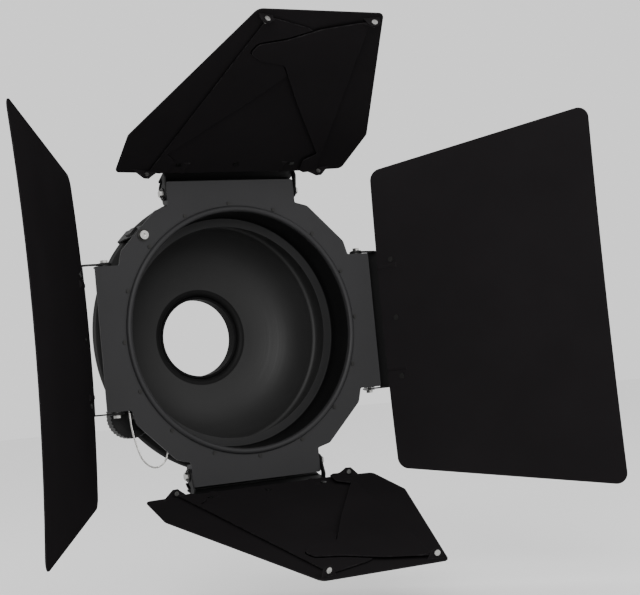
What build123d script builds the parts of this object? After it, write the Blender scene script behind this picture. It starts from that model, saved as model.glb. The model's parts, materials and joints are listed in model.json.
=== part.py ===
"""Rotating barn doors on a deep black bowl reflector, as separate pieces.

Frame, in millimetres: +Z is up, the light axis runs along Y and the light leaves towards -Y.
The origin is the centre of the rear mount ring's back face.
Depths are measured backwards from the front face of the front plate and placed by deep().
"""
import os
from math import asin, atan2, cos, hypot, pi, radians, sin, sqrt, tan

from build123d import *

os.makedirs("parts", exist_ok=True)

# ---------------------------------------------------------------- driving dimensions
TOTAL_DEPTH = 141.0          # front face of the plate to the back face of the mount ring

PLATE_THICK = 2.0
ARM_REACH = 161.0            # light axis to the outer edge of each arm
ARM_HALF = 75.0              # half width of each arm
ARM_ROOT = 135.0             # where the arm leaves the octagon
OCT_LONG = 131.0             # octagon corner, larger coordinate
OCT_SHORT = 90.0             # octagon corner, smaller coordinate
EAR_THICK = 1.5
EAR_DEPTH = 14.0             # how far an arm's side ear reaches back

OPEN_R = 127.0               # clear radius of the front opening (254 mm)
BEAD_R = 3.2                 # rolled bead round the opening
COLLAR_BACK_R = 125.5        # collar wall radius at its back
COLLAR_DEPTH = 37.4
COLLAR_THICK = 1.5
SHOULDER_R = 115.6           # inner radius of the turned-in shoulder
COLLAR_FLANGE_R = 134.0      # outer radius of the turned-out rear flange
RIVET_COUNT = 16
RIVET_RING_R = 136.2

FLANGE_DEPTH = 42.0          # front face of the reflector's flange
SHEET = 1.5                  # spun reflector sheet
RIM_R = 151.5                # centre of the wired edge
RIM_TUBE = 3.0
THROAT_R = 44.0              # clear radius of the rear bore
THROAT_FRONT = 124.0         # depth where the bore starts
MOUNT_OUT_R = 48.5
CLAW_R = 53.0

HINGE_R = 149.0              # light axis to each hinge line
HINGE_DEPTH = 5.6            # hinge line behind the plate's front face
BOLT_R = 2.0                 # M4 hinge bolts
HEX_FLATS = 7.0              # M4 bolt heads and nuts
RUNNING = 0.05               # radial running clearance
LEAF_THICK = 1.2
BRACKET_THICK = 1.5
BRACKET_START = 4.3          # side bracket's edge nearest to the hinge line
BAFFLE_START = -2.5          # the same on the top and bottom brackets, which carry a light baffle
BAFFLE_R = 14.0              # inner radius of the baffle round the arm's edge
BRACKET_END = 44.0
BRACKET_GAP = 0.02           # leaf to bracket
RIVET_HEAD = 0.9

SIDE_OFFSET = 19.2           # side leaf plane to its hinge line
SIDE_START = 16.0
SIDE_END = 272.6
SIDE_HALF_IN = 168.6
SIDE_HALF_OUT = 203.6
SIDE_BOW_R = 2590.0          # radius of the side leaves' slight outward curl

END_OFFSET = 14.0            # top or bottom leaf plane to its hinge line
END_TIP = 278.0

FOLD_HEIGHT = 6.0            # wing fold line above the leaf's inner face
FOLD_BASE = (101.0, 24.0)    # across and along the leaf
FOLD_TIP = (57.5, 270.0)
WING_THICK = 1.0

OPEN_ANGLE = {"left": 61.3, "right": 52.2, "top": 64.8, "bottom": 73.8}

LOCK_X = -129.5
LOCK_Z = -81.0
LOCK_R = 23.0

CABLE_DIA = 2.0


def deep(d):
    """Part-frame Y of a point d millimetres behind the plate's front face."""
    return d - TOTAL_DEPTH


def save(shape, name):
    """Write one node to its own file."""
    export_step(shape, f"parts/{name}.step")
    print(f"{name}: {len(shape.solids())} solid(s), {shape.volume / 1000.0:.2f} cm3")


def ring_from(points):
    """Turn a closed outline of (radius, depth) points about the light axis."""
    vertices = [Vector(r, deep(d), 0) for r, d in points]
    face = Face(Wire.make_polygon(vertices, close=True))
    return Solid.revolve(face, 360, Axis((0, 0, 0), (0, 1, 0)))


def rod(start, end, radius):
    """Solid cylinder between two points."""
    a = Vector(*start)
    b = Vector(*end)
    line = b - a
    return Solid.make_cylinder(radius, line.length, Plane(origin=a, z_dir=line.normalized()))


def hexagon(start, end, across_flats):
    """Hexagonal prism between two points."""
    a = Vector(*start)
    b = Vector(*end)
    line = b - a
    plane = Plane(origin=a, x_dir=(1, 0, 0), z_dir=line.normalized())
    sketch = plane * RegularPolygon(across_flats / 2.0, 6, major_radius=False)
    return extrude(sketch, line.length, dir=line.normalized()).solid()


def slab(points, direction, thickness):
    """Extrude a flat 3D polygon."""
    face = Face(Wire.make_polygon([Vector(*p) for p in points], close=True))
    return Solid.extrude(face, Vector(*direction).normalized() * thickness)


def arc_points(cx, cy, radius, start, end, steps):
    """Points on a circle between two angles in degrees."""
    out = []
    for i in range(steps + 1):
        a = radians(start + (end - start) * i / steps)
        out.append((cx + radius * cos(a), cy + radius * sin(a)))
    return out


def group(solids):
    """Several solids in one node."""
    return Compound(children=list(solids))


def turned(shape, angle):
    """Turn a shape about the light axis, from +X towards +Z."""
    return shape.rotate(Axis((0, 0, 0), (0, 1, 0)), -angle)


# ---------------------------------------------------------------- reflector, the fixed root
def bowl_profile():
    """Inner face of the spun bowl, front to back, as (radius, depth)."""
    inner = [(RIM_R, FLANGE_DEPTH)]
    inner += arc_points(127.0, FLANGE_DEPTH + 3.0, 3.0, 270, 180, 6)
    inner += [(123.6, 68.0), (122.3, 71.4), (119.2, 72.2)]
    inner += [(117.4, 80.0), (113.6, 89.0), (107.5, 97.6), (99.0, 105.2), (88.5, 111.2)]
    inner += [(77.0, 115.5), (66.0, 118.2), (57.0, 119.6)]
    inner += arc_points(53.0, 126.0, 6.0, 270, 180, 6)
    inner += [(47.0, THROAT_FRONT + 4.0)]
    return inner


def offset_out(points, gap):
    """Offset an open profile to its outer side by a constant gap."""
    out = []
    for i, (r, d) in enumerate(points):
        r0, d0 = points[max(i - 1, 0)]
        r1, d1 = points[min(i + 1, len(points) - 1)]
        tr = r1 - r0
        td = d1 - d0
        length = hypot(tr, td)
        out.append((r + gap * td / length, d - gap * tr / length))
    return out


inner = bowl_profile()
outer = offset_out(inner, SHEET)
bowl = ring_from(inner + list(reversed(outer)))
rim = Solid.make_torus(RIM_R, RIM_TUBE, Plane(origin=(0, deep(FLANGE_DEPTH + RIM_TUBE), 0), z_dir=(0, 1, 0)))
bowl = (bowl + rim).solid()
save(bowl, "reflector_bowl")

mount_outline = [
    (THROAT_R, THROAT_FRONT),
    (46.8, THROAT_FRONT),
    (46.8, 128.6),
    (66.5, 128.6),
    (66.5, 132.0),
    (MOUNT_OUT_R, 132.0),
    (MOUNT_OUT_R, TOTAL_DEPTH),
    (THROAT_R, TOTAL_DEPTH),
]
mount_ring = ring_from(mount_outline)
spacer = ring_from([(55.0, 121.5), (57.2, 121.25), (66.5, 119.8), (66.5, 128.55), (55.0, 128.55)])
claw_band = ring_from(
    [(MOUNT_OUT_R - 0.5, 137.8), (CLAW_R, 137.8), (CLAW_R, 141.0), (MOUNT_OUT_R - 0.5, 141.0)]
)
for angle in (90, 210, 330):
    wedge = slab(
        [
            (0, deep(137.8), 0),
            (80 * cos(radians(angle - 17)), deep(137.8), 80 * sin(radians(angle - 17))),
            (80 * cos(radians(angle + 17)), deep(137.8), 80 * sin(radians(angle + 17))),
        ],
        (0, 1, 0),
        3.2,
    )
    mount_ring = mount_ring + (claw_band & wedge)
screws = []
for angle in (45, 135, 225, 315):
    x = 60.0 * cos(radians(angle))
    z = 60.0 * sin(radians(angle))
    mount_ring = mount_ring - rod((x, deep(112), z), (x, deep(140), z), 2.05)
    spacer = spacer - rod((x, deep(122.6), z), (x, deep(140), z), 2.05)
    screw = rod((x, deep(122.8), z), (x, deep(132.0), z), 2.0)
    screw = screw + rod((x, deep(132.0), z), (x, deep(134.4), z), 3.8)
    screw = screw - hexagon((x, deep(133.0), z), (x, deep(135.0), z), 2.5)
    screws.append(screw)
save(mount_ring, "mount_ring")
save(spacer.solid(), "mount_spacer")
save(group(screws), "mount_screws")


# ---------------------------------------------------------------- rotating frame
def plate_outline():
    """Octagon with four rectangular arms, in (x, z)."""
    quarter = [
        (-ARM_HALF, ARM_REACH),
        (ARM_HALF, ARM_REACH),
        (ARM_HALF, ARM_ROOT),
        (OCT_SHORT, OCT_LONG),
        (OCT_LONG, OCT_SHORT),
        (ARM_ROOT, ARM_HALF),
    ]
    points = []
    for k in range(4):
        for x, z in quarter:
            for _ in range(k):
                x, z = z, -x
            points.append((x, z))
    return points


corner_radii = [2.5, 2.5, 2.0, 9.0, 9.0, 2.0] * 4
plate_plane = Plane(origin=(0, deep(0), 0), x_dir=(1, 0, 0), z_dir=(0, -1, 0))
plate_wire = FilletPolyline(*plate_outline(), radius=corner_radii, close=True)
plate_face = plate_plane * make_face(plate_wire)
plate = extrude(plate_face, PLATE_THICK, dir=(0, 1, 0)).solid()
plate = plate - rod((0, deep(-1), 0), (0, deep(4), 0), OPEN_R + COLLAR_THICK + 0.05)


def place_on_side(shape, k):
    """Turn a shape drawn on the right arm to arm k: 0 right, 1 top, 2 left, 3 bottom."""
    return turned(shape, 90 * k)


def arm_ear(side):
    """Side ear of the right arm, bent back from the plate, with its bolt hole."""
    z = side * (ARM_HALF - EAR_THICK / 2.0)
    profile = [(137.0, 0.6), (160.2, 0.6)]
    profile += arc_points(152.2, EAR_DEPTH - 8.0, 8.0, 0, 90, 6)
    profile += arc_points(142.0, EAR_DEPTH - 5.0, 5.0, 90, 180, 5)
    points = [(r, deep(d), z - EAR_THICK / 2.0) for r, d in profile]
    ear = slab(points, (0, 0, 1), EAR_THICK)
    hole = rod((HINGE_R, deep(HINGE_DEPTH), z - 4), (HINGE_R, deep(HINGE_DEPTH), z + 4), BOLT_R + RUNNING)
    return ear, hole


bolts = []
nuts = []
washers = []
for k in range(4):
    for side in (-1, 1):
        ear, hole = arm_ear(side)
        plate = (plate + place_on_side(ear, k)) - place_on_side(hole, k)

        def at(t):
            """Point on the hinge line at distance t from the middle."""
            return (HINGE_R, deep(HINGE_DEPTH), side * t)

        bolt = rod(at(68.6), at(78.6), BOLT_R) + hexagon(at(78.6), at(81.4), HEX_FLATS)
        nut = hexagon(at(70.2), at(73.4), HEX_FLATS) - rod(at(60), at(80), BOLT_R)
        inner_washer = rod(at(75.05), at(75.75), 6.0) - rod(at(74), at(80), BOLT_R)
        outer_washer = rod(at(77.85), at(78.55), 6.0) - rod(at(74), at(80), BOLT_R)
        bolts.append(place_on_side(bolt, k))
        nuts.append(place_on_side(nut, k))
        washers.append(place_on_side(inner_washer, k))
        washers.append(place_on_side(outer_washer, k))

collar_outline = [(SHOULDER_R, COLLAR_DEPTH), (COLLAR_BACK_R - 1.5, COLLAR_DEPTH)]
collar_outline += [(COLLAR_BACK_R, COLLAR_DEPTH - 1.5), (OPEN_R, 1.5)]
collar_outline += arc_points(OPEN_R + BEAD_R, -0.05, BEAD_R, 180, 360, 12)
collar_outline += [(OPEN_R + COLLAR_THICK, -0.05), (OPEN_R + COLLAR_THICK, 2.5)]
collar_outline += [(COLLAR_BACK_R + COLLAR_THICK, COLLAR_DEPTH), (COLLAR_FLANGE_R, COLLAR_DEPTH)]
collar_outline += [(COLLAR_FLANGE_R, COLLAR_DEPTH + COLLAR_THICK), (SHOULDER_R, COLLAR_DEPTH + COLLAR_THICK)]
collar = ring_from(collar_outline)
save(collar, "collar")

glide = ring_from([(127.5, 38.95), (133.5, 38.95), (133.5, 41.6), (127.5, 41.6)])
save(glide, "glide_ring")

rivets = []
for i in range(RIVET_COUNT):
    angle = radians(2.0 + 360.0 * i / RIVET_COUNT)
    x = RIVET_RING_R * cos(angle)
    z = RIVET_RING_R * sin(angle)
    plate = plate - rod((x, deep(-1), z), (x, deep(3), z), 1.25)
    rivet = rod((x, deep(0), z), (x, deep(3.0), z), 1.2) + rod((x, deep(-0.9), z), (x, deep(0), z), 2.1)
    rivets.append(rivet + rod((x, deep(2.05), z), (x, deep(3.0), z), 2.1))
save(group(rivets), "collar_rivets")

# rim clips: one screwed (removable), two welded; each hooks behind the wired edge
CLIP_SCREW_R = 148.8


def clip(angle, screwed):
    """Hook that holds the frame on the reflector's wired edge."""
    hole_r = 2.1

    def block(r0, r1, half, d0, d1):
        """Box between two radii and two depths."""
        corners = [(r0, deep(d0), -half), (r1, deep(d0), -half), (r1, deep(d0), half), (r0, deep(d0), half)]
        return slab(corners, (0, 1, 0), d1 - d0)

    foot = block(141.0, 156.6, 8.0, 2.05, 3.55)
    leg = block(155.1, 156.6, 8.0, 2.05, 50.05)
    hook = block(147.0, 156.6, 8.0, 48.55, 50.05)
    body = foot + leg + hook
    if screwed:
        body = body + block(156.6, 159.0, 5.0, 10.0, 26.0)
        body = body - rod((CLIP_SCREW_R, deep(0), 0), (CLIP_SCREW_R, deep(5), 0), hole_r)
    return turned(body.solid(), angle)


save(clip(135, True), "clip_removable")
save(group([clip(40, False), clip(-50, False)]), "clips_fixed")
plate = plate - turned(rod((CLIP_SCREW_R, deep(-1), 0), (CLIP_SCREW_R, deep(3), 0), 2.1), 135)
clip_screw = rod((CLIP_SCREW_R, deep(-0.65), 0), (CLIP_SCREW_R, deep(6.5), 0), 2.0)
clip_screw = clip_screw + rod((CLIP_SCREW_R, deep(-3.6), 0), (CLIP_SCREW_R, deep(-0.65), 0), 4.6)
clip_screw = clip_screw - hexagon((CLIP_SCREW_R, deep(-2.0), 0), (CLIP_SCREW_R, deep(-4.0), 0), 3.0)
save(turned(clip_screw.solid(), 135), "clip_screw")
clip_washer = rod((CLIP_SCREW_R, deep(-0.6), 0), (CLIP_SCREW_R, deep(-0.02), 0), 6.6)
clip_washer = clip_washer - rod((CLIP_SCREW_R, deep(-2), 0), (CLIP_SCREW_R, deep(1), 0), 2.05)
save(turned(clip_washer.solid(), 135), "clip_washer")
clip_nut = hexagon((CLIP_SCREW_R, deep(3.6), 0), (CLIP_SCREW_R, deep(6.0), 0), 7.0)
clip_nut = clip_nut - rod((CLIP_SCREW_R, deep(3), 0), (CLIP_SCREW_R, deep(7), 0), 2.05)
save(turned(clip_nut.solid(), 135), "clip_nut")

# rotation lock: stud on the plate, knurled thumbwheel, brake shoe on the reflector's flange
stud = rod((LOCK_X, deep(PLATE_THICK), LOCK_Z), (LOCK_X, deep(37.6), LOCK_Z), 3.0)
save(stud, "lock_stud")
plate = plate.solid()
save(plate, "front_plate")
save(group(bolts), "hinge_bolts")
save(group(nuts), "hinge_nuts")
save(group(washers), "hinge_washers")

WHEEL_FRONT = 15.6
WHEEL_BACK = 31.6
wheel = rod((LOCK_X, deep(WHEEL_FRONT), LOCK_Z), (LOCK_X, deep(WHEEL_BACK), LOCK_Z), LOCK_R)
rim_edges = wheel.edges().filter_by(GeomType.CIRCLE)
wheel = wheel.chamfer(1.6, None, rim_edges)
for i in range(36):
    a = 2 * pi * i / 36
    x = LOCK_X + (LOCK_R + 0.5) * cos(a)
    z = LOCK_Z + (LOCK_R + 0.5) * sin(a)
    wheel = wheel - rod((x, deep(10), z), (x, deep(40), z), 1.35)
hub = rod((LOCK_X, deep(WHEEL_BACK), LOCK_Z), (LOCK_X, deep(34.6), LOCK_Z), 8.0)
dish = rod((LOCK_X, deep(WHEEL_FRONT - 1), LOCK_Z), (LOCK_X, deep(WHEEL_FRONT + 2.0), LOCK_Z), 15.0)
wheel = (wheel - dish) + hub
wheel = wheel - rod((LOCK_X, deep(5), LOCK_Z), (LOCK_X, deep(45), LOCK_Z), 3.0 + RUNNING)
save(wheel.solid(), "lock_wheel")

angle_lock = atan2(LOCK_Z, LOCK_X)
radial = (cos(angle_lock), 0, sin(angle_lock))
across = (-sin(angle_lock), 0, cos(angle_lock))


def lock_point(along, side, d):
    """Point beside the lock stud: along the radius, across it, and at depth d."""
    return (
        LOCK_X + radial[0] * along + across[0] * side,
        deep(d),
        LOCK_Z + radial[2] * along + across[2] * side,
    )


shoe = slab(
    [lock_point(-15, -9, 38.6), lock_point(7, -9, 38.6), lock_point(7, 9, 38.6), lock_point(-15, 9, 38.6)],
    (0, 1, 0),
    1.4,
)
sleeve = rod((LOCK_X, deep(34.8), LOCK_Z), (LOCK_X, deep(38.6), LOCK_Z), 6.0)
shoe = shoe + sleeve
shoe = shoe - rod((LOCK_X, deep(34.0), LOCK_Z), (LOCK_X, deep(38.0), LOCK_Z), 3.0 + RUNNING)
save(shoe.solid(), "lock_shoe")
lining = slab(
    [lock_point(-15, -9, 40.02), lock_point(-5, -9, 40.02), lock_point(-5, 9, 40.02), lock_point(-15, 9, 40.02)],
    (0, 1, 0),
    1.3,
)
save(lining, "lock_lining")

# safety cable: a thin steel rope between two anchors on the back of the plate
cable_points = [
    (-135.4, deep(7.0), -64.0),
    (-135.0, deep(8.0), -88.0),
    (-130.0, deep(9.0), -112.0),
    (-124.0, deep(10.0), -129.0),
    (-110.0, deep(10.5), -138.5),
    (-96.0, deep(10.0), -129.0),
    (-94.4, deep(9.0), -113.0),
]


def corner_radius(points, i):
    """Fillet radius at corner i, from its shorter run and its turn."""
    a = Vector(*points[i]) - Vector(*points[i - 1])
    b = Vector(*points[i + 1]) - Vector(*points[i])
    turn = radians(a.get_angle(b))
    return 0.45 * min(a.length, b.length) / tan(turn / 2.0)


cable_radii = [corner_radius(cable_points, i) for i in range(1, len(cable_points) - 1)]
print("cable radii", [round(r, 1) for r in cable_radii])
cable_line = FilletPolyline(*cable_points, radius=cable_radii)
cable_section = Plane(origin=cable_line @ 0, z_dir=cable_line % 0) * Circle(CABLE_DIA / 2.0)
cable = sweep(cable_section, path=cable_line).solid()
print("cable length", round(cable_line.length, 1), "volume", round(cable.volume, 1))
save(cable, "safety_cable")


def cable_anchor(end, before, size):
    """Crimp sleeve at a cable end with a flat foot on the plate."""
    tip = Vector(*end)
    way = (tip - Vector(*before)).normalized()
    start = tip + way * 0.02
    stop = tip + way * 7.4
    sleeve = rod(tuple(start), tuple(stop), size)
    foot_y = deep(PLATE_THICK + 0.02)
    x = stop.X
    z = stop.Z
    post = rod((x, foot_y, z), (x, stop.Y, z), size + 0.6)
    return (sleeve + post).solid()


anchors = [
    cable_anchor(cable_points[0], cable_points[1], 2.2),
    cable_anchor(cable_points[-1], cable_points[-2], 2.2),
]
save(group(anchors), "cable_anchors")


# ---------------------------------------------------------------- leaves
def leaf_plane(side):
    """Leaf frame: x along the hinge, y away from the hinge in the leaf, z outwards."""
    phi = radians(OPEN_ANGLE[side])
    y = deep(HINGE_DEPTH)
    if side == "left":
        return Plane(origin=(-HINGE_R, y, 0), x_dir=(0, 0, -1), z_dir=(-sin(phi), cos(phi), 0))
    if side == "right":
        return Plane(origin=(HINGE_R, y, 0), x_dir=(0, 0, 1), z_dir=(sin(phi), cos(phi), 0))
    if side == "top":
        return Plane(origin=(0, y, HINGE_R), x_dir=(-1, 0, 0), z_dir=(0, cos(phi), sin(phi)))
    return Plane(origin=(0, y, -HINGE_R), x_dir=(1, 0, 0), z_dir=(0, cos(phi), -sin(phi)))


def sheet(points, radii, low, thickness):
    """Flat sheet in the leaf frame, from z = low upwards."""
    outline = FilletPolyline(*points, radius=radii, close=True)
    face = Plane(origin=(0, 0, low)) * make_face(outline)
    return extrude(face, thickness, dir=(0, 0, 1)).solid()


def curl(x, bow):
    """Height of a curled sheet above its middle line at distance x."""
    return bow - sqrt(bow * bow - x * x) if bow else 0.0


def on_leaf(x, y, low, height, bow):
    """Point above the leaf's inner face, along the face's own normal."""
    if not bow:
        return (x, y, low + height)
    a = asin(x / bow)
    return (sin(a) * (bow - height), y, low + bow - cos(a) * (bow - height))


def curled(points, radii, low, lift, thickness, bow):
    """Sheet curled about an axis along y, lift above the leaf's inner face."""
    if not bow:
        return sheet(points, radii, low + lift, thickness)
    blank = sheet(points, radii, low - 2.0, 24.0)
    plane = Plane(origin=(0, -20, low + bow), z_dir=(0, 1, 0))
    wall = Solid.make_cylinder(bow - lift, 340, plane) - Solid.make_cylinder(bow - lift - thickness, 340, plane)
    return (blank & wall).solids().sort_by(SortBy.VOLUME)[-1]


def ridge(t, low, start, end, bow):
    """Short pressed rib on the leaf's inner face."""
    z = low + curl(t, bow)
    profile = [(-3.6, 0.6), (-3.6, 0.0), (-1.6, -1.6), (1.6, -1.6), (3.6, 0.0), (3.6, 0.6)]
    return slab([(t + x, start, z + n) for x, n in profile], (0, 1, 0), end - start)


def baffle():
    """Curved lip round the hinge line that closes the gap at the arm's edge."""
    outer = BAFFLE_R + BRACKET_THICK
    profile = arc_points(0, 0, BAFFLE_R, 84, 132, 8) + arc_points(0, 0, outer, 132, 84, 8)
    return slab([(-75.9, s, n) for s, n in profile], (1, 0, 0), 151.8)


def hinge_bracket(low, bow):
    """Strip behind the leaf with two ears that reach the hinge line."""
    half = 77.6
    lift = LEAF_THICK + BRACKET_GAP
    start = BRACKET_START if bow else BAFFLE_START
    outline = [(-half, start), (half, start), (half, 17.6)]
    outline += [(75.0, BRACKET_END), (-75.0, BRACKET_END), (-half, 17.6)]
    body = curled(outline, [1.0, 1.0, 2.0, 4.0, 4.0, 2.0], low, lift, BRACKET_THICK, bow)
    top = low + lift + BRACKET_THICK + curl(half, bow) - 0.1
    for side in (-1, 1):
        x = side * 76.8 - 0.8
        profile = arc_points(0, 0, 7.5, 140, 350, 12)
        profile += [(15.6, low - 4.0), (15.6, top), (8.7, top)]
        profile += [(7.5, low - 4.5), (4.6, 8.6)]
        ear = slab([(x, s, n) for s, n in profile], (1, 0, 0), 1.6)
        body = body + ear
        body = body - rod((x - 2, 0, 0), (x + 4, 0, 0), BOLT_R + RUNNING)
    if not bow:
        body = body + baffle()
    return body.solid()


RIVET_SPOTS = [(-66.0, 33.0), (0.0, 33.0), (66.0, 33.0)]


def bracket_rivets(low, bow):
    """Rivets that hold a bracket to its leaf."""
    stack = LEAF_THICK + BRACKET_GAP + BRACKET_THICK + 0.02
    out = []
    for x, y in RIVET_SPOTS:

        def at(height):
            """Point on the rivet's axis."""
            return on_leaf(x, y, low, height, bow)

        rivet = rod(at(-RIVET_HEAD), at(-0.01), 3.0)
        rivet = rivet + rod(at(-0.01), at(stack), 1.6)
        out.append(rivet + rod(at(stack), at(stack + RIVET_HEAD), 3.0))
    return out


def drilled(shape, low, bow):
    """Drill the bracket rivet holes."""
    for x, y in RIVET_SPOTS:
        shape = shape - rod(on_leaf(x, y, low, -4, bow), on_leaf(x, y, low, 7, bow), 1.65)
    return shape.solid()


def save_bracket(side, low, bow):
    """Write a leaf's bracket and its rivets."""
    place = leaf_plane(side).location
    bracket = drilled(hinge_bracket(low, bow), low, bow)
    save(bracket.moved(place), f"bracket_{side}")
    save(group([r.moved(place) for r in bracket_rivets(low, bow)]), f"bracket_rivets_{side}")


def side_leaf(side):
    """Large side leaf with its bracket and rivets."""
    low = SIDE_OFFSET
    points = [
        (-SIDE_HALF_IN, SIDE_START),
        (SIDE_HALF_IN, SIDE_START),
        (SIDE_HALF_OUT, SIDE_END),
        (-SIDE_HALF_OUT, SIDE_END),
    ]
    leaf = curled(points, [13, 13, 12, 12], low, 0.0, LEAF_THICK, SIDE_BOW_R)
    for t in (-56.0, 58.0):
        leaf = leaf + ridge(t, low, SIDE_START + 1.0, 39.0, SIDE_BOW_R)
    leaf = drilled(leaf, low, SIDE_BOW_R)
    save(leaf.moved(leaf_plane(side).location), f"leaf_{side}")
    save_bracket(side, low, SIDE_BOW_R)


side_leaf("left")
side_leaf("right")


def fold_frame(sigma):
    """Fold line of a wing in the leaf frame: base point, direction, inward direction, length."""
    base = Vector(sigma * FOLD_BASE[0], FOLD_BASE[1], END_OFFSET - FOLD_HEIGHT)
    tip = Vector(sigma * FOLD_TIP[0], FOLD_TIP[1], END_OFFSET - FOLD_HEIGHT)
    along = (tip - base).normalized()
    inward = Vector(-sigma * along.Y, sigma * along.X, 0)
    return base, along, inward, (tip - base).length


def upright(base, along, inward, u, profile, thickness):
    """Tab square to the fold line at distance u; profile in (inward, height above the fold line)."""
    up = Vector(0, 0, -1)
    points = [tuple(base + along * u + inward * w + up * h) for w, h in profile]
    return slab(points, tuple(along), thickness)


def end_leaf(side):
    """Top or bottom leaf with four bent-up lugs, its bracket and rivets."""
    plane = leaf_plane(side)
    low = END_OFFSET
    points = [
        (-82.0, 18.0),
        (82.0, 18.0),
        (133.0, 21.0),
        (137.0, 84.0),
        (66.5, END_TIP),
        (-66.5, END_TIP),
        (-137.0, 84.0),
        (-133.0, 21.0),
    ]
    leaf = sheet(points, [4, 4, 6, 14, 8, 8, 14, 6], low, LEAF_THICK)
    pins = []
    for sigma in (-1, 1):
        base, along, inward, length = fold_frame(sigma)
        for u, push, wide in ((-1.7, -1.0, 14.0), (length + 0.5, 1.0, 7.0)):
            foot = -FOLD_HEIGHT - 0.3
            profile = [(-wide, foot), (wide + 2, foot), (6.0, 1.0), (3.0, 3.6), (-3.0, 3.6), (-6.0, 1.0)]
            lug = upright(base, along, inward, u, profile, 1.2)
            middle = base + along * (u + 0.6)
            lug = lug - rod(tuple(middle - along * 4), tuple(middle + along * 4), 1.55)
            leaf = leaf + lug
            head_from = middle + along * (push * 0.62)
            head_to = middle + along * (push * 1.7)
            tail_from = middle - along * (push * 2.3)
            tail_to = middle - along * (push * 3.2)
            pin = rod(tuple(head_from), tuple(tail_from), 1.5)
            pin = pin + rod(tuple(head_from), tuple(head_to), 2.9)
            pin = pin + rod(tuple(tail_from), tuple(tail_to), 2.4)
            pins.append(pin.solid())
    for t in (-57.0, 57.0):
        leaf = leaf + ridge(t, low, 19.0, 36.0, None)
    leaf = drilled(leaf, low, None)
    save(leaf.moved(plane.location), f"leaf_{side}")
    save_bracket(side, low, None)
    save(group([p.moved(plane.location) for p in pins]), f"wing_pins_{side}")


WING_OUTLINE = [
    (103.5, 24.1),
    (84.0, 20.8),
    (77.5, 25.0),
    (75.0, 43.0),
    (87.5, 54.5),
    (27.0, 143.0),
    (-11.0, 203.0),
    (-40.0, 209.0),
    (-54.0, 219.0),
    (-50.0, 232.0),
    (-23.0, 240.0),
    (8.0, 257.0),
    (43.0, 267.3),
    (57.5, 269.9),
]


def wing(side, sigma, level, notch):
    """One folded wing: sheet, two ears on the fold line, optional notch for the other wing's tip."""
    plane = leaf_plane(side)
    base, along, inward, length = fold_frame(sigma)
    points = [(sigma * x, y) for x, y in WING_OUTLINE]
    radii = [0.4, 3, 3, 3, 3, 8, 10, 6, 7, 6, 8, 8, 6, 0.4]
    z = END_OFFSET - level - WING_THICK
    body = sheet(points, radii, z, WING_THICK)
    margin = 3.6
    keep = slab(
        [
            tuple(base + inward * margin - along * 20 + Vector(0, 0, -5)),
            tuple(base + inward * 260 - along * 20 + Vector(0, 0, -5)),
            tuple(base + inward * 260 + along * (length + 20) + Vector(0, 0, -5)),
            tuple(base + inward * margin + along * (length + 20) + Vector(0, 0, -5)),
        ],
        (0, 0, 1),
        14,
    )
    body = body & keep
    if notch:
        other = [(-sigma * x, y) for x, y in WING_OUTLINE]
        grown = FilletPolyline(*other, radius=radii, close=True)
        face = offset(make_face(grown), amount=1.2, kind=Kind.INTERSECTION)
        cutter = extrude(Plane(origin=(0, 0, z - 2)) * face, 6, dir=(0, 0, 1))
        body = body - cutter
        body = body.solids().sort_by(SortBy.VOLUME)[-1]
    drop = FOLD_HEIGHT - level
    for u in (0.0, length - 1.0):
        profile = [(2.6, 3.0), (-2.6, 3.0), (-4.0, 0.0), (-2.6, -3.0)]
        profile += [(3.0, -drop), (12.0, -drop), (12.0, -drop + WING_THICK), (6.0, 1.0)]
        ear = upright(base, along, inward, u, profile, 1.0)
        middle = base + along * (u + 0.5)
        body = body + ear
        body = body - rod(tuple(middle - along * 3), tuple(middle + along * 3), 1.5 + RUNNING)
    solid = body.solids().sort_by(SortBy.VOLUME)[-1]
    return solid.moved(plane.location)


for side, upper in (("top", -1), ("bottom", 1)):
    end_leaf(side)
    save(wing(side, upper, 3.4, False), f"wing_{side}_right")
    save(wing(side, -upper, 1.6, True), f"wing_{side}_left")
    for sigma, name in ((upper, "right"), (-upper, "left")):
        base, along, inward, length = fold_frame(sigma)
        origin = leaf_plane(side).from_local_coords(tuple(base))
        end = leaf_plane(side).from_local_coords(tuple(base + along * length))
        way = (end - origin).normalized()
        print("fold", side, name, [round(v, 4) for v in origin], [round(v, 5) for v in way])
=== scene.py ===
"""Looks for the rotating barn doors: materials, smooth spun metal, cable strands, light and camera."""
import json
import math

import bmesh
import bpy
from mathutils import Matrix, Vector


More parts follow.
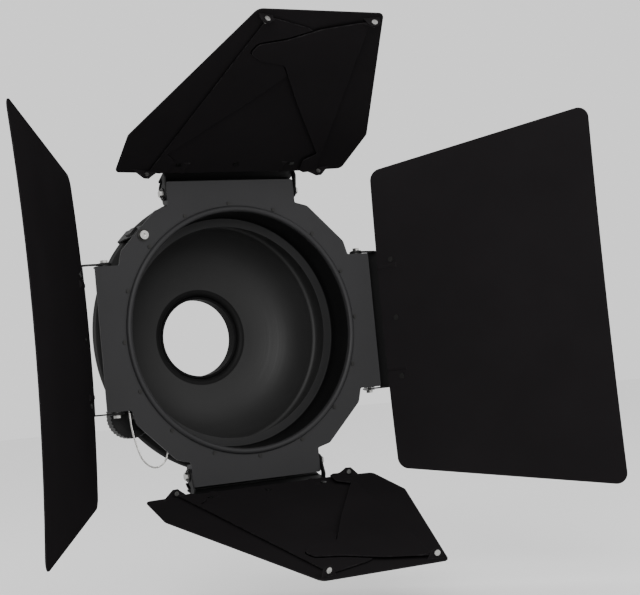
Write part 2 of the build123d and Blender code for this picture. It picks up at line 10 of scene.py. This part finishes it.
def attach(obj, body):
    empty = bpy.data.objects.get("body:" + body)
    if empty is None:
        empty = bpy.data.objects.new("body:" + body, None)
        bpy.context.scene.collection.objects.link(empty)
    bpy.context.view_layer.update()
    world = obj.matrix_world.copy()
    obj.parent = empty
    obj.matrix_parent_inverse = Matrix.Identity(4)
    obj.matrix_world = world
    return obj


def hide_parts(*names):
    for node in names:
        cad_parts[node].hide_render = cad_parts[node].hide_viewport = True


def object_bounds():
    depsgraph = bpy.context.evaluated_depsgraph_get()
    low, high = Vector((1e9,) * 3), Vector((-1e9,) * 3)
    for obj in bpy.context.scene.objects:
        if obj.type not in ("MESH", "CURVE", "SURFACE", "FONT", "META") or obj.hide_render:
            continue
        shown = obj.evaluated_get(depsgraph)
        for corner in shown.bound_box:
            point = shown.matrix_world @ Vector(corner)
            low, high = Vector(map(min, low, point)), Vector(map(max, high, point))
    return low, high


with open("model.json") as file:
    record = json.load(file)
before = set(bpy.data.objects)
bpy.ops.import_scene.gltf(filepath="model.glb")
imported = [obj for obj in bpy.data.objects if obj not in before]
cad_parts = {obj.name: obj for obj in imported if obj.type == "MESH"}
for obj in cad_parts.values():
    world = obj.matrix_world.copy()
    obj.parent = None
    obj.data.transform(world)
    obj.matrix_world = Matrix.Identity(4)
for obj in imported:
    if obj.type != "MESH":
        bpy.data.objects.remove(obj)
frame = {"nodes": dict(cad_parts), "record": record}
cad_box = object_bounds()
nodes = frame["nodes"]

DEPTH = 0.141                # front face of the plate to the origin, metres

# Noise and wear
EDGE_RADIUS = 0.0007         # how far from an edge the paint is worn
CHIP_TONE = 0.09             # brightness of metal that shows through the paint
BRUSHING = 2400.0            # noise scale of brushed hardware
STEEL_TINT = (1.0, 0.99, 0.96)
NEUTRAL = (1.0, 1.0, 1.02)   # black paint with the least blue in it
BLACK = (0.0, 0.0, 0.0, 1.0)
WHITE = (1.0, 1.0, 1.0, 1.0)

# Meshes
WELD_GAP = 0.000002
SHARP_ANGLE = 40.0           # degrees, edges sharper than this are rounded
ROUND_SIDES = 192            # facets round the bowl and the collar
BOWL_SHEET = 1.5             # millimetres
CABLE_DIAMETER = 0.002
STRAND_STEP = 0.0004         # spacing of rings along a strand
PATH_STEP = 0.001            # spacing of the declared cord path

# Stage
FLOOR_GAP = 0.06             # floor below the object's lowest point
FLOOR_RADIUS = 14.0
SKY = 1.15                   # strength of the white surroundings
LIGHT_AIM = (0, -0.2, 0)
SOFTBOX_SIZE = 1.6


def deep(d):
    """Y of a point d millimetres behind the plate's front face, in metres."""
    return d / 1000.0 - DEPTH


# ---------------------------------------------------------------- material helpers
def new_material(name):
    """A node material, its tree and its main shader."""
    mat = bpy.data.materials.new(name)
    mat.use_nodes = True
    tree = mat.node_tree
    return mat, tree, tree.nodes["Principled BSDF"]


def noise(tree, scale, detail, rough):
    """Noise on object coordinates."""
    coords = tree.nodes.new("ShaderNodeTexCoord")
    node = tree.nodes.new("ShaderNodeTexNoise")
    node.inputs["Scale"].default_value = scale
    node.inputs["Detail"].default_value = detail
    node.inputs["Roughness"].default_value = rough
    tree.links.new(coords.outputs["Object"], node.inputs["Vector"])
    return node.outputs["Fac"]


def line_noise(tree, along, scale, detail):
    """Noise that varies along one value only."""
    node = tree.nodes.new("ShaderNodeTexNoise")
    node.noise_dimensions = "1D"
    node.inputs["Scale"].default_value = scale
    node.inputs["Detail"].default_value = detail
    tree.links.new(along, node.inputs["W"])
    return node.outputs["Fac"]


def ramp(tree, source, low, high, a, b):
    """Colour that goes from a to b as a value goes from low to high."""
    node = tree.nodes.new("ShaderNodeValToRGB")
    node.color_ramp.elements[0].position = low
    node.color_ramp.elements[1].position = high
    node.color_ramp.elements[0].color = a
    node.color_ramp.elements[1].color = b
    tree.links.new(source, node.inputs["Fac"])
    return node.outputs["Color"]


def grey(v, tint=(1.0, 1.0, 1.0)):
    """Linear colour from a brightness and a tint."""
    return (v * tint[0], v * tint[1], v * tint[2], 1.0)


def math_node(tree, kind, a, b=None):
    """Math node whose inputs are links or constants."""
    node = tree.nodes.new("ShaderNodeMath")
    node.operation = kind
    for i, value in enumerate((a, b)):
        if value is None:
            continue
        if isinstance(value, (int, float)):
            node.inputs[i].default_value = value
        else:
            tree.links.new(value, node.inputs[i])
    return node.outputs["Value"]


def bump(tree, shader, height, strength, distance):
    """Bump into the shader's normal."""
    node = tree.nodes.new("ShaderNodeBump")
    node.inputs["Strength"].default_value = strength
    node.inputs["Distance"].default_value = distance
    tree.links.new(height, node.inputs["Height"])
    tree.links.new(node.outputs["Normal"], shader.inputs["Normal"])


def worn_edges(tree, colour, wear):
    """Chipped paint along the edges, found from a rounded normal."""
    geometry = tree.nodes.new("ShaderNodeNewGeometry")
    rounded = tree.nodes.new("ShaderNodeBevel")
    rounded.samples = 6
    rounded.inputs["Radius"].default_value = EDGE_RADIUS
    turn = tree.nodes.new("ShaderNodeVectorMath")
    turn.operation = "DOT_PRODUCT"
    tree.links.new(rounded.outputs["Normal"], turn.inputs[0])
    tree.links.new(geometry.outputs["Normal"], turn.inputs[1])
    edge = ramp(tree, turn.outputs["Value"], 0.80, 0.97, WHITE, BLACK)
    chipped = ramp(tree, noise(tree, 160.0, 3.0, 0.7), 0.45, 0.62, BLACK, WHITE)
    mask = math_node(tree, "MULTIPLY", edge, chipped)
    mix = tree.nodes.new("ShaderNodeMix")
    mix.data_type = "RGBA"
    mix.inputs["B"].default_value = grey(CHIP_TONE)
    tree.links.new(math_node(tree, "MULTIPLY", mask, wear), mix.inputs["Factor"])
    tree.links.new(colour, mix.inputs["A"])
    return mix.outputs["Result"]


def painted(name, tones, rough, grain, depth, specular, tint=NEUTRAL, wear=0.0):
    """Baked paint: cloudy tone, fine grain, patchy gloss and a little edge wear."""
    mat, tree, shader = new_material(name)
    dark, light = tones
    cloud = noise(tree, 9.0, 5.0, 0.55)
    colour = ramp(tree, cloud, 0.32, 0.7, grey(dark, tint), grey(light, tint))
    if wear > 0:
        colour = worn_edges(tree, colour, wear)
    tree.links.new(colour, shader.inputs["Base Color"])
    patch = noise(tree, 26.0, 4.0, 0.6)
    gloss = ramp(tree, patch, 0.3, 0.72, grey(rough - 0.05), grey(rough + 0.07))
    tree.links.new(gloss, shader.inputs["Roughness"])
    shader.inputs["Specular IOR Level"].default_value = specular
    bump(tree, shader, noise(tree, grain, 2.0, 0.5), 0.35, depth)
    return mat


def spun(name, tones, rough, specular):
    """Painted spun metal with faint turning rings about the light axis."""
    mat, tree, shader = new_material(name)
    dark, light = tones
    coords = tree.nodes.new("ShaderNodeTexCoord")
    split = tree.nodes.new("ShaderNodeSeparateXYZ")
    tree.links.new(coords.outputs["Object"], split.inputs["Vector"])
    x, y, z = (split.outputs[axis] for axis in "XYZ")
    x2 = math_node(tree, "MULTIPLY", x, x)
    z2 = math_node(tree, "MULTIPLY", z, z)
    radius = math_node(tree, "SQRT", math_node(tree, "ADD", x2, z2))
    along = math_node(tree, "ADD", radius, math_node(tree, "MULTIPLY", y, 0.8))
    rings = line_noise(tree, along, 900.0, 4.0)
    broad = line_noise(tree, along, 120.0, 2.0)
    cloud = noise(tree, 14.0, 4.0, 0.6)
    tone = ramp(tree, cloud, 0.3, 0.72, grey(dark), grey(light))
    tree.links.new(tone, shader.inputs["Base Color"])
    gloss = ramp(tree, rings, 0.3, 0.7, grey(rough - 0.04), grey(rough + 0.06))
    tree.links.new(gloss, shader.inputs["Roughness"])
    shader.inputs["Specular IOR Level"].default_value = specular
    grain = noise(tree, 1900.0, 2.0, 0.5)
    height = math_node(tree, "ADD", math_node(tree, "MULTIPLY", rings, 0.5), grain)
    height = math_node(tree, "ADD", height, math_node(tree, "MULTIPLY", broad, 2.0))
    bump(tree, shader, height, 0.25, 0.00008)
    return mat


def metal(name, value, rough):
    """Plated steel hardware with fine brushing and dulled patches."""
    mat, tree, shader = new_material(name)
    cloud = noise(tree, 300.0, 3.0, 0.6)
    dull = grey(value * 0.72, STEEL_TINT)
    tree.links.new(ramp(tree, cloud, 0.3, 0.75, dull, grey(value, STEEL_TINT)), shader.inputs["Base Color"])
    shader.inputs["Metallic"].default_value = 1.0
    patch = noise(tree, 420.0, 3.0, 0.6)
    gloss = ramp(tree, patch, 0.3, 0.7, grey(rough - 0.08), grey(rough + 0.1))
    tree.links.new(gloss, shader.inputs["Roughness"])
    bump(tree, shader, noise(tree, BRUSHING, 2.0, 0.5), 0.2, 0.00004)
    return mat


# ---------------------------------------------------------------- materials, by slot
# Each paint: tones (darkest, lightest), roughness, grain scale, grain depth, specular, tint, wear
PAINTS = {
    "plate_charcoal": ((0.0135, 0.0152), 0.5, 1500.0, 0.00008, 0.16, (1.0, 0.99, 1.04), 0.3),
    "leaf_black": ((0.0068, 0.0080), 0.7, 1200.0, 0.00006, 0.0, (1.1, 1.0, 1.06), 0.25),
    "bracket_black": ((0.0028, 0.0036), 0.5, 1400.0, 0.00006, 0.10, NEUTRAL, 0.4),
    # collar wall and flange: near-black paint that stands in for the shade inside the collar (painted
    # shade)
    "collar_wall_painted_shade": ((0.0024, 0.0032), 0.55, 1500.0, 0.00006, 0.06, (1.0, 1.0, 1.04)),
    # collar shoulder: lighter grey paint that stands in for light falling on the shoulder (painted light)
    "collar_shoulder_painted_light": ((0.0125, 0.0145), 0.45, 1500.0, 0.00006, 0.12),
    "cast_black": ((0.0035, 0.005), 0.6, 900.0, 0.0001, 0.03, NEUTRAL, 0.3),
    "knob_black": ((0.0035, 0.0048), 0.45, 1100.0, 0.00008, 0.12),
    "glide_black": ((0.012, 0.016), 0.55, 900.0, 0.00005, 0.3),
    "lining_grey": ((0.05, 0.075), 0.85, 700.0, 0.0002, 0.2),
}
# Spun paint: tones, roughness, specular
SPUN = {
    # throat lip and bore: darker paint that stands in for the shade round and inside the hole (painted
    # shade)
    "throat_painted_shade": ((0.0040, 0.0055), 0.5, 0.06),
    "reflector_black": ((0.0125, 0.0150), 0.5, 0.16),
}
# Hardware: brightness, roughness
METALS = {
    "hardware_zinc": (0.45, 0.34),
    "hardware_black": (0.03, 0.42),
    "cable_steel": (0.6, 0.28),
}
materials = {name: painted(name, *look) for name, look in PAINTS.items()}
materials.update({name: spun(name, *look) for name, look in SPUN.items()})
materials.update({name: metal(name, *look) for name, look in METALS.items()})

slot_of = {p["node"]: p["material_slot"] for p in frame["record"]["subparts"]}
for name, obj in nodes.items():
    for slot in obj.material_slots:
        slot.material = materials[slot_of[name]]


# ---------------------------------------------------------------- rounded sheet edges
def soften(name, width, segments=2):
    """Round the sharp edges of a node's own mesh."""
    obj = nodes[name]
    weld = obj.modifiers.new("weld", "WELD")
    weld.merge_threshold = WELD_GAP
    bevel = obj.modifiers.new("bevel", "BEVEL")
    bevel.width = width
    bevel.segments = segments
    bevel.limit_method = "ANGLE"
    bevel.angle_limit = math.radians(SHARP_ANGLE)
    even = obj.modifiers.new("even", "WEIGHTED_NORMAL")
    even.keep_sharp = False
    even.weight = 80


soften("front_plate", 0.0007, 3)
for side in ("left", "right", "top", "bottom"):
    soften(f"leaf_{side}", 0.0004)
    soften(f"bracket_{side}", 0.0004)
for side in ("top", "bottom"):
    for hand in ("left", "right"):
        soften(f"wing_{side}_{hand}", 0.0003)
for name in ("clip_removable", "clips_fixed", "lock_wheel", "mount_ring"):
    soften(name, 0.0004)


# ---------------------------------------------------------------- mesh helpers
def circle(k, sides):
    """Cosine and sine of the k-th of a number of equal steps round a circle."""
    a = 2 * math.pi * k / sides
    return math.cos(a), math.sin(a)


def bridge(bm, r0, r1):
    """Faces between two rings of points."""
    sides = len(r0)
    for k in range(sides):
        bm.faces.new((r0[k], r0[(k + 1) % sides], r1[(k + 1) % sides], r1[k]))


def arc(cx, cy, radius, start, end, steps):
    """Points on a circle between two angles in degrees."""
    out = []
    for i in range(steps + 1):
        a = math.radians(start + (end - start) * i / steps)
        out.append((cx + radius * math.cos(a), cy + radius * math.sin(a)))
    return out


def between(a, b, c, d, t):
    """Catmull-Rom value at t between b and c."""
    linear = 2 * b + (c - a) * t
    return 0.5 * (linear + (2 * a - 5 * b + 4 * c - d) * t * t + (3 * b - a - 3 * c + d) * t**3)


def smooth_through(points, steps):
    """Smooth curve through points."""
    out = []
    n = len(points)
    for i in range(n - 1):
        near = [points[max(0, min(n - 1, j))] for j in (i - 1, i, i + 1, i + 2)]
        for k in range(steps):
            out.append(tuple(between(*values, k / steps) for values in zip(*near)))
    out.append(points[-1])
    return out


def offset_out(points, gap):
    """Offset an open profile to its outer side."""
    out = []
    for i, (r, d) in enumerate(points):
        r0, d0 = points[max(i - 1, 0)]
        r1, d1 = points[min(i + 1, len(points) - 1)]
        length = math.hypot(r1 - r0, d1 - d0)
        out.append((r + gap * (d1 - d0) / length, d - gap * (r1 - r0) / length))
    return out


def lathe(bm, outline, sides=ROUND_SIDES):
    """Turn a closed outline of (radius, depth) in millimetres about the light axis."""
    rings = []
    for r, d in outline:
        ring = []
        for k in range(sides):
            c, s = circle(k, sides)
            ring.append(bm.verts.new((r / 1000 * c, deep(d), r / 1000 * s)))
        rings.append(ring)
    for i, ring in enumerate(rings):
        bridge(bm, ring, rings[(i + 1) % len(rings)])


def mesh_object(name, bm, mats, hard=35.0):
    """Finish a bmesh as a smooth-shaded object with hard edges above an angle."""
    bmesh.ops.recalc_face_normals(bm, faces=bm.faces)
    bm.normal_update()
    for edge in bm.edges:
        edge.smooth = len(edge.link_faces) == 2 and edge.calc_face_angle(0.0) < math.radians(hard)
    mesh = bpy.data.meshes.new(name)
    bm.to_mesh(mesh)
    bm.free()
    for mat in mats:
        mesh.materials.append(mat)
    for poly in mesh.polygons:
        poly.use_smooth = True
    obj = bpy.data.objects.new(name, mesh)
    bpy.context.scene.collection.objects.link(obj)
    return obj


# ---------------------------------------------------------------- spun bowl
RIM = (151.5, 45.0, 3.0)     # wired rim: radius, depth and its own radius
# Inside THROAT_LIP and past THROAT_DEPTH the bowl takes the darker throat paint, as painted shade
THROAT_LIP = 54.5            # radius inside which the bowl is the dark lip of the bore
THROAT_DEPTH = 121.0         # and the depth past which it is

bowl_line = [(151.5, 42.0)] + arc(127.0, 45.0, 3.0, 270, 180, 8)
bowl_line += [(123.9, 55.0), (123.6, 67.4), (123.2, 69.6), (122.3, 71.2), (120.9, 72.0), (119.4, 72.6)]
bowl_line += smooth_through(
    [(118.9, 74.0), (117.4, 80.0), (113.6, 89.0), (107.5, 97.6), (99.0, 105.2), (88.5, 111.2)]
    + [(77.0, 115.5), (66.0, 118.2), (57.0, 119.6), (53.0, 120.0)],
    6,
)
bowl_line += arc(53.0, 126.0, 6.0, 270, 180, 10)[1:] + [(47.0, 128.0)]
bm = bmesh.new()
lathe(bm, bowl_line + list(reversed(offset_out(bowl_line, BOWL_SHEET))))
lathe(bm, arc(*RIM, 0, 345, 23))
bowl_looks = [materials["reflector_black"], materials["throat_painted_shade"]]
bowl = mesh_object("reflector_bowl_spun", bm, bowl_looks, 50.0)
# Faces at the throat's lip and in the bore take the darker paint: painted shade
for poly in bowl.data.polygons:
    if math.hypot(poly.center.x, poly.center.z) < THROAT_LIP / 1000 or poly.center.y > deep(THROAT_DEPTH):
        poly.material_index = 1
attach(bowl, "reflector")
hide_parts("reflector_bowl")

# ---------------------------------------------------------------- rolled collar
BEAD_DEPTH = 0.9             # the bead stands forward of this and is painted like the plate
# The shoulder ring is painted a lighter grey than the collar wall, as painted light
SHOULDER_DEPTH = 37.0        # the shoulder lies behind this
SHOULDER_RADIUS = 124.5      # and inside this

collar_line = [(115.6, 37.7), (115.9, 37.4), (123.6, 37.4)] + arc(123.9, 35.8, 1.6, 90, 0, 5)
collar_line += [(127.0, 1.5)] + arc(130.2, -0.05, 3.2, 180, 360, 24)
collar_line += [(128.5, -0.05), (128.5, 2.5), (127.0, 37.4), (134.0, 37.4), (134.0, 38.9)]
collar_line += [(115.9, 38.9), (115.6, 38.6)]
bm = bmesh.new()
lathe(bm, collar_line)
collar_looks = [materials[name] for name in ("collar_wall_painted_shade", "plate_charcoal", "collar_shoulder_painted_light")]
collar = mesh_object("collar_rolled", bm, collar_looks)
# The bead takes the plate's paint. The shoulder takes a lighter grey that stands in for light on it
# (painted light). The rest of the collar takes a near-black that stands in for shade (painted shade).
for poly in collar.data.polygons:
    x, y, z = poly.center
    if y < deep(BEAD_DEPTH):
        poly.material_index = 1
    elif y > deep(SHOULDER_DEPTH) and math.hypot(x, z) < SHOULDER_RADIUS / 1000:
        poly.material_index = 2
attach(collar, "frame")
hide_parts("collar")


# ---------------------------------------------------------------- safety cable
def curve_points(route):
    """Points along a smooth curve that is pulled towards a route's points."""
    curve = bpy.data.curves.new("cable_route", "CURVE")
    curve.dimensions = "3D"
    curve.resolution_u = 16
    spline = curve.splines.new("NURBS")
    spline.points.add(len(route) - 1)
    for point, place in zip(spline.points, route):
        point.co = (*place, 1.0)
    spline.order_u = 3
    spline.use_endpoint_u = True
    obj = bpy.data.objects.new("cable_route", curve)
    bpy.context.scene.collection.objects.link(obj)
    bpy.context.view_layer.update()
    mesh = bpy.data.meshes.new_from_object(obj)
    points = [v.co.copy() for v in mesh.vertices]
    bpy.data.objects.remove(obj)
    bpy.data.meshes.remove(mesh)
    return points


def spread(points, step):
    """Points at equal steps along a polyline."""
    out = [points[0].copy()]
    left = step
    for a, b in zip(points, points[1:]):
        run = (b - a).length
        at = left
        while at <= run:
            out.append(a.lerp(b, at / run))
            at += step
        left = at - run
    if (out[-1] - points[-1]).length > step * 0.3:
        out.append(points[-1].copy())
    else:
        out[-1] = points[-1].copy()
    return out


def frames_along(points):
    """A steady pair of cross directions at each point."""
    out = []
    side = None
    for i, p in enumerate(points):
        way = (points[min(i + 1, len(points) - 1)] - points[max(i - 1, 0)]).normalized()
        if side is None:
            side = way.orthogonal().normalized()
        side = (side - way * side.dot(way)).normalized()
        out.append((p, side.copy(), way.cross(side).normalized()))
    return out


def tube(bm, centres, radius, sides):
    """Closed tube through centres given with their cross directions."""
    rings = []
    for p, u, v in centres:
        ring = []
        for k in range(sides):
            c, s = circle(k, sides)
            ring.append(bm.verts.new(p + u * (radius * c) + v * (radius * s)))
        rings.append(ring)
    for r0, r1 in zip(rings, rings[1:]):
        bridge(bm, r0, r1)
    bm.faces.new(list(reversed(rings[0])))
    bm.faces.new(rings[-1])


def cable_strands(points, diameter):
    """Wire rope: six outer strands laid round a core."""
    bm = bmesh.new()
    steady = frames_along(spread(points, STRAND_STEP))
    strand = diameter / 6.0
    tube(bm, steady, strand * 0.98, 8)
    lay = diameter * 7.0
    for s in range(6):
        centres = []
        for i, (p, u, v) in enumerate(steady):
            a = 2 * math.pi * (s / 6.0 + i * STRAND_STEP / lay)
            centres.append((p + (u * math.cos(a) + v * math.sin(a)) * (2 * strand), u, v))
        tube(bm, centres, strand, 7)
    return mesh_object("safety_cable_rope", bm, [materials["cable_steel"]], 60.0)


route = [
    (-0.1354, deep(7.0), -0.0640),
    (-0.1350, deep(8.0), -0.0880),
    (-0.1300, deep(9.0), -0.1120),
    (-0.1240, deep(10.0), -0.1290),
    (-0.1100, deep(10.5), -0.1385),
    (-0.0960, deep(10.0), -0.1290),
    (-0.0944, deep(9.0), -0.1130),
]
line = curve_points(route)
rope = cable_strands(line, CABLE_DIAMETER)
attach(rope, "frame")
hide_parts("safety_cable")
path = [tuple(p) for p in spread(line, PATH_STEP)]

# ---------------------------------------------------------------- stage
floor_mesh = bpy.data.meshes.new("floor")
bm = bmesh.new()
bmesh.ops.create_circle(bm, cap_ends=True, segments=96, radius=FLOOR_RADIUS)
bm.to_mesh(floor_mesh)
bm.free()
floor = bpy.data.objects.new("floor", floor_mesh)
floor.location = (0, 0, cad_box[0][2] - FLOOR_GAP)
bpy.context.scene.collection.objects.link(floor)
floor_mat, _, shader = new_material("floor_pale")
shader.inputs["Base Color"].default_value = (0.9, 0.9, 0.9, 1)
shader.inputs["Roughness"].default_value = 0.9
floor_mesh.materials.append(floor_mat)

# ---------------------------------------------------------------- light
world = bpy.data.worlds.new("studio")
bpy.context.scene.world = world
world.use_nodes = True
back = world.node_tree.nodes["Background"]
back.inputs["Color"].default_value = WHITE
back.inputs["Strength"].default_value = SKY


def softbox(name, place, power):
    """Square area light that faces the object."""
    light = bpy.data.lights.new(name, "AREA")
    light.shape = "SQUARE"
    light.size = SOFTBOX_SIZE
    light.energy = power
    obj = bpy.data.objects.new(name, light)
    obj.location = place
    obj.rotation_euler = (Vector(LIGHT_AIM) - Vector(place)).to_track_quat("-Z", "Y").to_euler()
    bpy.context.scene.collection.objects.link(obj)


softbox("key", (-1.3, -2.8, 0.9), 90)
softbox("fill", (1.6, -2.6, 1.6), 25)

# ---------------------------------------------------------------- camera
camera_data = bpy.data.cameras.new("camera")
camera_data.sensor_width = 36.0
camera_data.lens = 82.25
camera = bpy.data.objects.new("camera", camera_data)
right = Vector((0.88216, -0.46088, -0.09682))
ahead = Vector((0.46745, 0.88191, 0.06108))
up = Vector((0.05724, -0.09914, 0.99343))
turn = Matrix((right, up, -ahead)).transposed().to_4x4()
camera.matrix_world = Matrix.Translation((-0.65862, -1.56275, -0.07008)) @ turn
bpy.context.scene.collection.objects.link(camera)
bpy.context.scene.camera = camera
